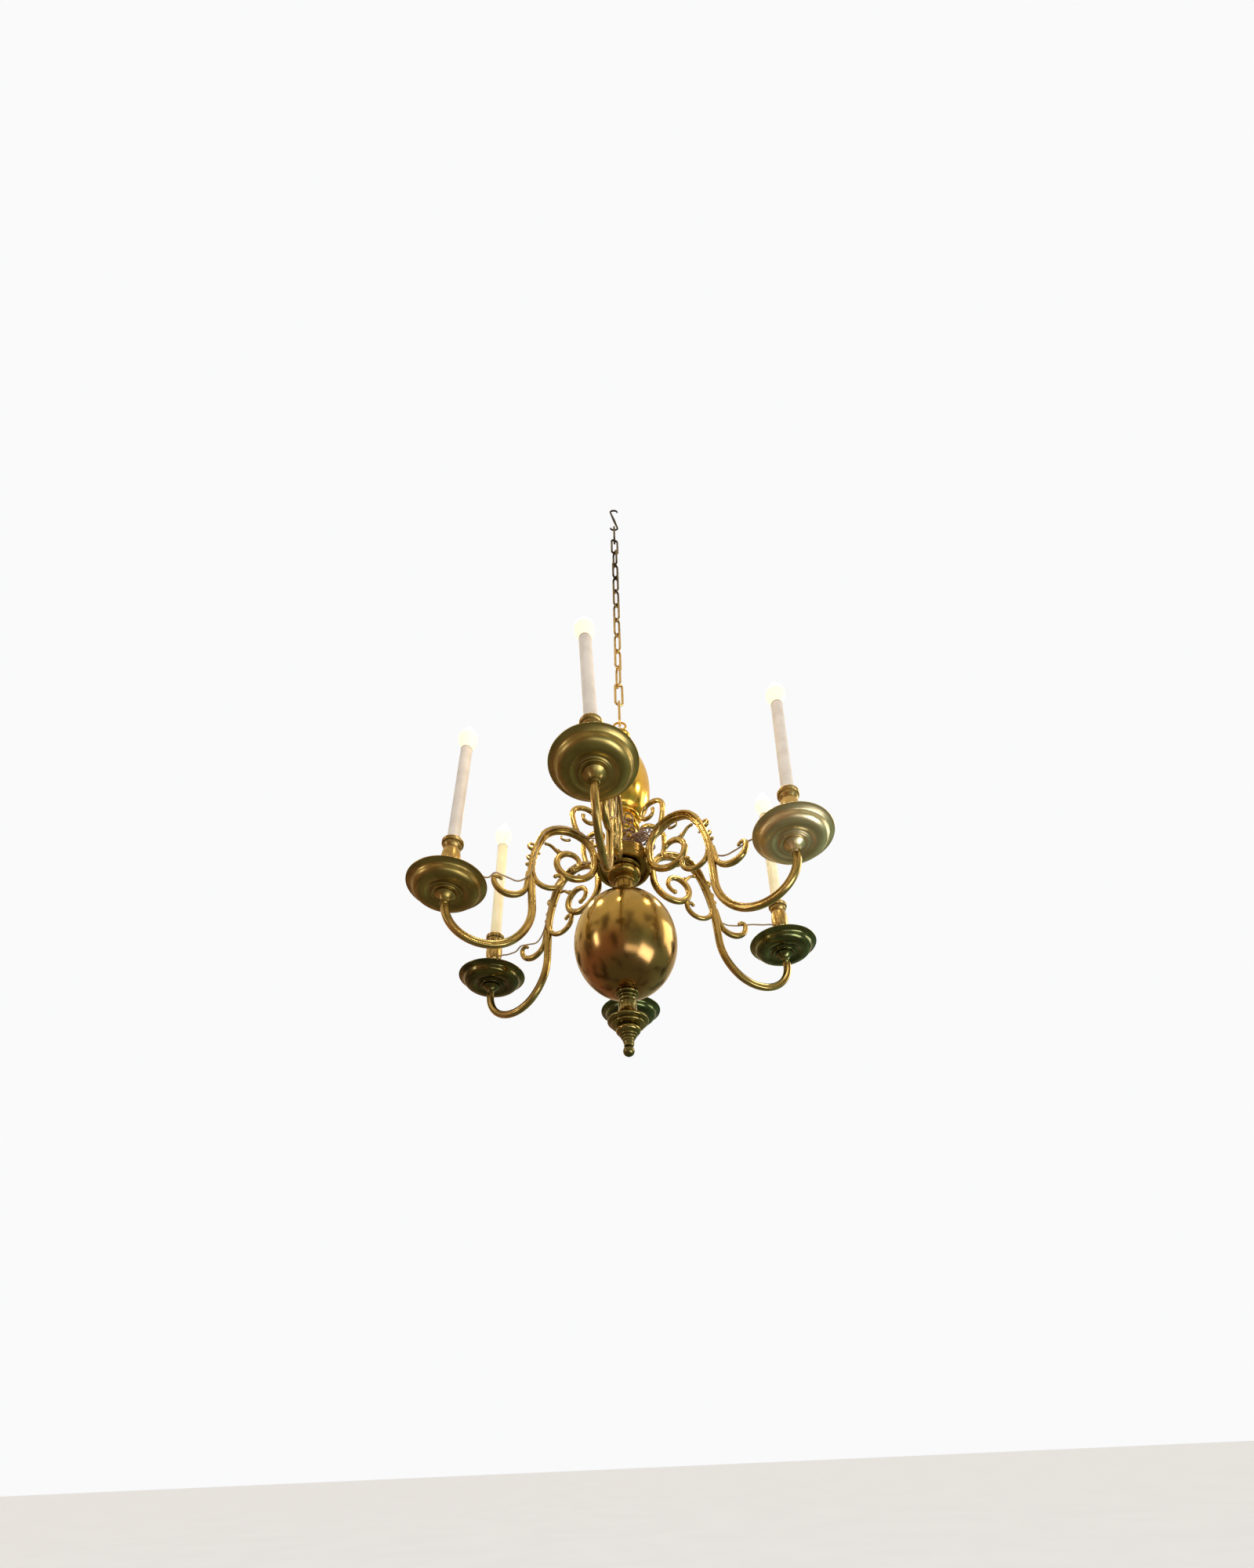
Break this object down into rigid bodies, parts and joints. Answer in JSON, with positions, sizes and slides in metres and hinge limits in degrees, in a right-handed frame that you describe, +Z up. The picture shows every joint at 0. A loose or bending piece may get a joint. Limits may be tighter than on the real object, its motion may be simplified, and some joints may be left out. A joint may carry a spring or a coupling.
{
  "type": "multi arm chandelier",
  "caption": "Hanging brass candle chandelier with curved scrolled arms round a turned stem, electric candle lamps over drip pans, and a link chain with a top hook.",
  "frame": {"origin": "the highest inner point of the top hook's upper crook, where it bears on the ceiling eye, on the chandelier's centre line", "axes": "+Z up along the chain and the stem, +Y away from the viewer of the front, +X to the viewer's right"},
  "size_m": [0.7449, 0.7905, 1.9587],
  "materials": {
    "iron": "blackened, slightly rough",
    "steel_rod": "plain threaded steel",
    "dark_brass": "darkened by age",
    "gold_brass": "polished, worn on the high spots",
    "vase_brass": "polished, with turning marks",
    "hub_brass": "polished band, brown underneath",
    "globe_brass": "polished with an olive patina",
    "arm_brass": "polished cast brass",
    "pan_brass": "spun brass with an olive patina",
    "cup_brass": "turned brass with a patina",
    "ivory_sleeve": "smooth ivory, slightly yellowed",
    "holder": "white insulating body",
    "lamp_glass": "frosted, lit from inside",
    "wire_brown": "dull brown insulation"
  },
  "bodies": {
    "hanger": {"ceiling_hook": "iron"},
    "link_top": {"chain_link_top": "iron"},
    "chain_upper": {"chain_upper": "dark_brass"},
    "chain_lower": {"chain_lower": "gold_brass"},
    "link_bottom": {"chain_link_bottom": "gold_brass"},
    "chandelier": {"stem_eye": "gold_brass", "centre_rod": "steel_rod", "vase": "vase_brass", "vase_collar": "vase_brass", "hub_drum": "hub_brass", "hub_knob": "hub_brass", "globe": "globe_brass", "ring_collar": "globe_brass", "pendant": "globe_brass", "finial_nut": "globe_brass", "hub_wires": "wire_brown", "arm_screws": "iron", "candle_nipples": "steel_rod", "arm_1": "arm_brass", "arm_2": "arm_brass", "arm_3": "arm_brass", "arm_4": "arm_brass", "arm_5": "arm_brass", "arm_6": "arm_brass", "drip_pan_1": "pan_brass", "drip_pan_2": "pan_brass", "drip_pan_3": "pan_brass", "drip_pan_4": "pan_brass", "drip_pan_5": "pan_brass", "drip_pan_6": "pan_brass", "candle_cup_1": "cup_brass", "candle_cup_2": "cup_brass", "candle_cup_3": "cup_brass", "candle_cup_4": "cup_brass", "candle_cup_5": "cup_brass", "candle_cup_6": "cup_brass", "candle_sleeve_1": "ivory_sleeve", "candle_sleeve_2": "ivory_sleeve", "candle_sleeve_3": "ivory_sleeve", "candle_sleeve_4": "ivory_sleeve", "candle_sleeve_5": "ivory_sleeve", "candle_sleeve_6": "ivory_sleeve", "lampholder_1": "holder", "lampholder_2": "holder", "lampholder_3": "holder", "lampholder_4": "holder", "lampholder_5": "holder", "lampholder_6": "holder", "arm_flex_1": "wire_brown", "arm_flex_2": "wire_brown", "arm_flex_3": "wire_brown", "arm_flex_4": "wire_brown", "arm_flex_5": "wire_brown", "arm_flex_6": "wire_brown"},
    "bulb_1": {"bulb_1": "lamp_glass"},
    "bulb_2": {"bulb_2": "lamp_glass"},
    "bulb_3": {"bulb_3": "lamp_glass"},
    "bulb_4": {"bulb_4": "lamp_glass"},
    "bulb_5": {"bulb_5": "lamp_glass"},
    "bulb_6": {"bulb_6": "lamp_glass"}
  },
  "joints": [
    {"name": "hook_swing", "type": "hinge", "parent": "hanger", "child": "link_top", "pos_m": [0, 0, -0.1295], "axis": [1, 0, 0], "range_deg": [-30, 30]},
    {"name": "link_top_swing", "type": "hinge", "parent": "link_top", "child": "chain_upper", "pos_m": [0, 0, -0.20325], "axis": [0, 1, 0], "range_deg": [-30, 30]},
    {"name": "chain_middle_swing", "type": "hinge", "parent": "chain_upper", "child": "chain_lower", "pos_m": [0, 0, -0.64725], "axis": [-0.7071, 0.7071, 0], "range_deg": [-30, 30]},
    {"name": "chain_foot_swing", "type": "hinge", "parent": "chain_lower", "child": "link_bottom", "pos_m": [0, 0, -1.01725], "axis": [0.9659, 0.2588, 0], "range_deg": [-30, 30]},
    {"name": "link_bottom_swing", "type": "hinge", "parent": "link_bottom", "child": "chandelier", "pos_m": [0, 0, -1.09125], "axis": [0, 1, 0], "range_deg": [-30, 30]},
    {"name": "bulb_1_screw", "type": "hinge", "parent": "chandelier", "child": "bulb_1", "pos_m": [-0.03887, -0.33086, -1.67787], "axis": [-0.048, 0.0548, 0.9973], "range_deg": [0, 1080]},
    {"name": "bulb_2_screw", "type": "hinge", "parent": "chandelier", "child": "bulb_2", "pos_m": [-0.296, -0.11481, -1.70439], "axis": [-0.0182, 0.0229, 0.9996], "range_deg": [0, 1080]},
    {"name": "bulb_3_screw", "type": "hinge", "parent": "chandelier", "child": "bulb_3", "pos_m": [-0.27424, 0.18014, -1.68704], "axis": [-0.012, -0.0214, 0.9997], "range_deg": [0, 1080]},
    {"name": "bulb_4_screw", "type": "hinge", "parent": "chandelier", "child": "bulb_4", "pos_m": [0.00804, 0.3291, -1.68512], "axis": [-0.0035, 0.0001, 1], "range_deg": [0, 1080]},
    {"name": "bulb_5_screw", "type": "hinge", "parent": "chandelier", "child": "bulb_5", "pos_m": [0.31587, 0.12252, -1.66656], "axis": [0.0273, -0.0269, 0.9993], "range_deg": [0, 1080]},
    {"name": "bulb_6_screw", "type": "hinge", "parent": "chandelier", "child": "bulb_6", "pos_m": [0.27358, -0.18873, -1.67933], "axis": [0.0739, 0.0274, 0.9969], "range_deg": [0, 1080]}
  ]
}
